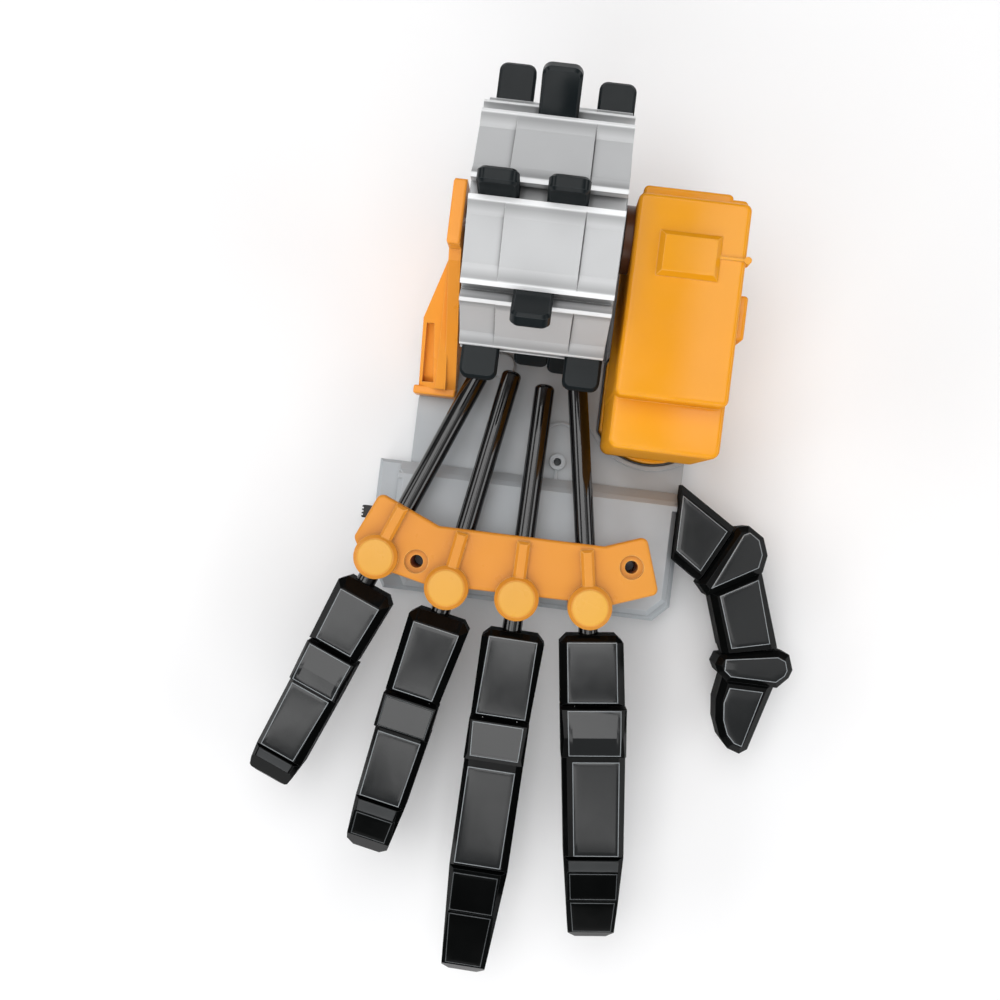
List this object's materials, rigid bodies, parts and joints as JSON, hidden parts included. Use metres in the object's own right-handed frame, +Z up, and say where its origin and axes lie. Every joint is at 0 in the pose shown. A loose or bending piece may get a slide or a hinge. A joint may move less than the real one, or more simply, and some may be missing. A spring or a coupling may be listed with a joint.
{
  "type": "programmable robot hand kit",
  "caption": "Robot hand kit on a grey base: a motor turns a slotted cam drum whose black tabs press rod levers that lift hinged black fingers, with an orange knuckle bridge and jointed thumb.",
  "frame": {"origin": "on the underside of the base, directly below the middle of the cam drum", "axes": "+X towards the motor housing and thumb, -Y along the fingers, +Z up"},
  "size_m": [0.1445, 0.2387, 0.0913],
  "materials": {
    "base_grey": "fine satin moulded plastic",
    "drum_grey": "satin pale grey moulded plastic",
    "housing_orange": "smooth semi-gloss moulded plastic",
    "bridge_orange": "smooth semi-gloss moulded plastic",
    "finger_black": "gloss black moulded plastic with dark grey satin faces",
    "rod_black": "high gloss black rod",
    "tab_black": "satin black moulded plastic",
    "switch_black": "matt black ribbed plastic",
    "pin_steel": "ground steel pin",
    "screw_steel": "black oxide steel",
    "motor_can": "plated steel can",
    "gear_white": "natural nylon",
    "pinion_brass": "turned brass",
    "battery_wrap": "plain printed sleeve with no marks",
    "contact_metal": "nickel plated spring steel"
  },
  "bodies": {
    "base": {"base_shell": "base_grey", "base_cover": "base_grey", "battery_door": "base_grey", "cover_screws": "screw_steel", "batteries": "battery_wrap", "battery_contacts": "contact_metal", "switch_body": "switch_black", "left_bracket": "housing_orange", "bracket_screws": "screw_steel", "turret": "housing_orange", "housing_lower": "housing_orange", "housing_upper": "housing_orange", "housing_screws": "screw_steel", "housing_clip": "housing_orange", "axle_bush": "housing_orange", "gear_pins": "pin_steel", "motor": "motor_can", "knuckle_bridge": "bridge_orange", "bridge_screws": "screw_steel", "lever_pins": "pin_steel", "thumb_root": "finger_black", "thumb_pin": "pin_steel"},
    "drum": {"drum_shell": "drum_grey", "drum_cap_left": "drum_grey", "drum_cap_right": "drum_grey", "cam_tabs": "tab_black", "drum_axle": "pin_steel", "drum_gear": "gear_white"},
    "gear near drum": {"gear_near_drum": "gear_white"},
    "gear near motor": {"gear_near_motor": "gear_white"},
    "motor shaft": {"motor_shaft": "pin_steel", "motor_pinion": "pinion_brass"},
    "switch": {"switch_knob": "switch_black"},
    "thumb middle": {"thumb_middle": "finger_black", "thumb_tip_pin": "pin_steel"},
    "thumb tip": {"thumb_tip": "finger_black"},
    "lever 1": {"lever_1": "rod_black", "finger_1_rear": "finger_black", "finger_1_pin": "pin_steel"},
    "finger 1": {"finger_1_middle": "finger_black", "finger_1_tip": "finger_black"},
    "lever 2": {"lever_2": "rod_black", "finger_2_rear": "finger_black", "finger_2_pin": "pin_steel"},
    "finger 2": {"finger_2_middle": "finger_black", "finger_2_tip": "finger_black"},
    "lever 3": {"lever_3": "rod_black", "finger_3_rear": "finger_black", "finger_3_pin": "pin_steel"},
    "finger 3": {"finger_3_middle": "finger_black", "finger_3_tip": "finger_black"},
    "lever 4": {"lever_4": "rod_black", "finger_4_rear": "finger_black", "finger_4_pin": "pin_steel"},
    "finger 4": {"finger_4_middle": "finger_black", "finger_4_tip": "finger_black"}
  },
  "joints": [
    {"name": "drum_spin", "type": "hinge", "parent": "base", "child": "drum", "pos_m": [0, 0, 0.05], "axis": [1, 0, 0], "continuous": true},
    {"name": "gear_near_drum_spin", "type": "hinge", "parent": "base", "child": "gear near drum", "pos_m": [0.028, -0.009, 0.05], "axis": [1, 0, 0], "continuous": true},
    {"name": "gear_near_motor_spin", "type": "hinge", "parent": "base", "child": "gear near motor", "pos_m": [0.028, -0.018, 0.05], "axis": [1, 0, 0], "continuous": true},
    {"name": "motor_spin", "type": "hinge", "parent": "base", "child": "motor shaft", "pos_m": [0.028, -0.027, 0.05], "axis": [1, 0, 0], "continuous": true},
    {"name": "lever_1_tilt", "type": "hinge", "parent": "base", "child": "lever 1", "pos_m": [-0.0345, -0.0877, 0.025], "axis": [-0.9323, 0.3616, 0], "range_deg": [-2, 5.5]},
    {"name": "lever_2_tilt", "type": "hinge", "parent": "base", "child": "lever 2", "pos_m": [-0.0149, -0.0935, 0.025], "axis": [-0.9866, 0.1633, 0], "range_deg": [-2, 5.5]},
    {"name": "lever_3_tilt", "type": "hinge", "parent": "base", "child": "lever 3", "pos_m": [0.0039, -0.0941, 0.025], "axis": [-0.9999, 0.0105, 0], "range_deg": [-2, 5.5]},
    {"name": "lever_4_tilt", "type": "hinge", "parent": "base", "child": "lever 4", "pos_m": [0.0234, -0.094, 0.025], "axis": [-0.986, -0.1668, 0], "range_deg": [-2, 5.5]},
    {"name": "finger_1_bend", "type": "hinge", "parent": "lever 1", "child": "finger 1", "pos_m": [-0.04538, -0.11943, 0.0225], "axis": [0.9272, -0.3746, 0], "range_deg": [0, 35]},
    {"name": "finger_2_bend", "type": "hinge", "parent": "lever 2", "child": "finger 2", "pos_m": [-0.02182, -0.12964, 0.0225], "axis": [0.9816, -0.1908, 0], "range_deg": [0, 35]},
    {"name": "finger_3_bend", "type": "hinge", "parent": "lever 3", "child": "finger 3", "pos_m": [0.00326, -0.1325, 0.0225], "axis": [0.9997, -0.0244, 0], "range_deg": [0, 35]},
    {"name": "finger_4_bend", "type": "hinge", "parent": "lever 4", "child": "finger 4", "pos_m": [0.0285, -0.12571, 0.0225], "axis": [0.9925, 0.1219, 0], "range_deg": [0, 35]},
    {"name": "thumb_bend", "type": "hinge", "parent": "base", "child": "thumb middle", "pos_m": [0.0599, -0.0786, 0.0115], "axis": [0.6947, 0.7193, 0], "range_deg": [0, 30]},
    {"name": "thumb_tip_bend", "type": "hinge", "parent": "thumb middle", "child": "thumb tip", "pos_m": [0.0699, -0.1062, 0.0115], "axis": [0.9781, 0.2079, 0], "range_deg": [0, 35]},
    {"name": "switch_slide", "type": "slide", "parent": "base", "child": "switch", "axis": [0, -1, 0], "range_m": [0, 0.0026]}
  ],
  "couplings": [
    {"joint": "gear_near_drum_spin", "follows": "drum_spin", "ratio": -4},
    {"joint": "gear_near_motor_spin", "follows": "drum_spin", "ratio": 16},
    {"joint": "motor_spin", "follows": "drum_spin", "ratio": -64}
  ]
}
